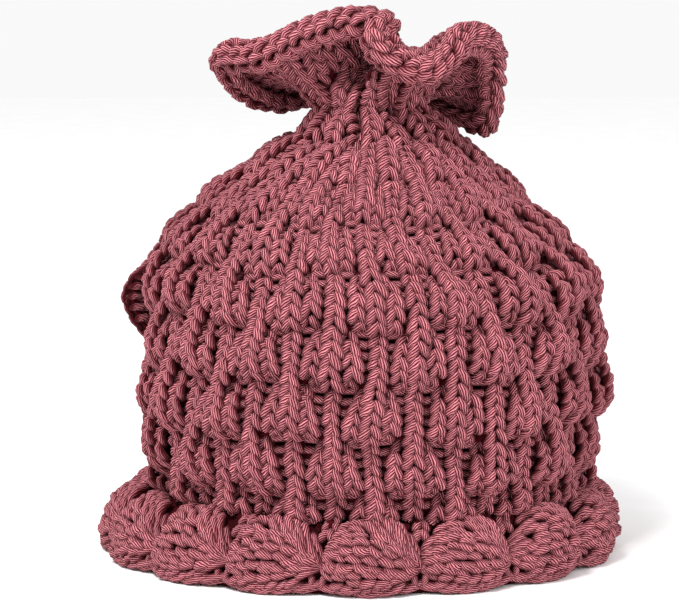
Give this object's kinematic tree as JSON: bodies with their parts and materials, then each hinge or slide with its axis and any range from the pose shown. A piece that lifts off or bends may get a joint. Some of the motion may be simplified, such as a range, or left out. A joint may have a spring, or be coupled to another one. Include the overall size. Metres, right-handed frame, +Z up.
{
  "type": "tea cosy",
  "caption": "Hand-knitted tea cosy in chunky yarn: bell-stitch dome with spout and handle slits, gathered neck, ruffled frill and a puffed border it stands on.",
  "frame": {"origin": "on the table, under the middle of the cosy's box", "axes": "+Z up, front towards -Y, spout slit towards -X, handle slit towards +X"},
  "size_m": [0.199, 0.1655, 0.2114],
  "materials": {
    "rose_yarn": "matt knitted chunky plied yarn, dusty rose"
  },
  "bodies": {
    "root": {"front_panel": "rose_yarn", "back_panel": "rose_yarn", "hem_band": "rose_yarn"}
  },
  "joints": []
}
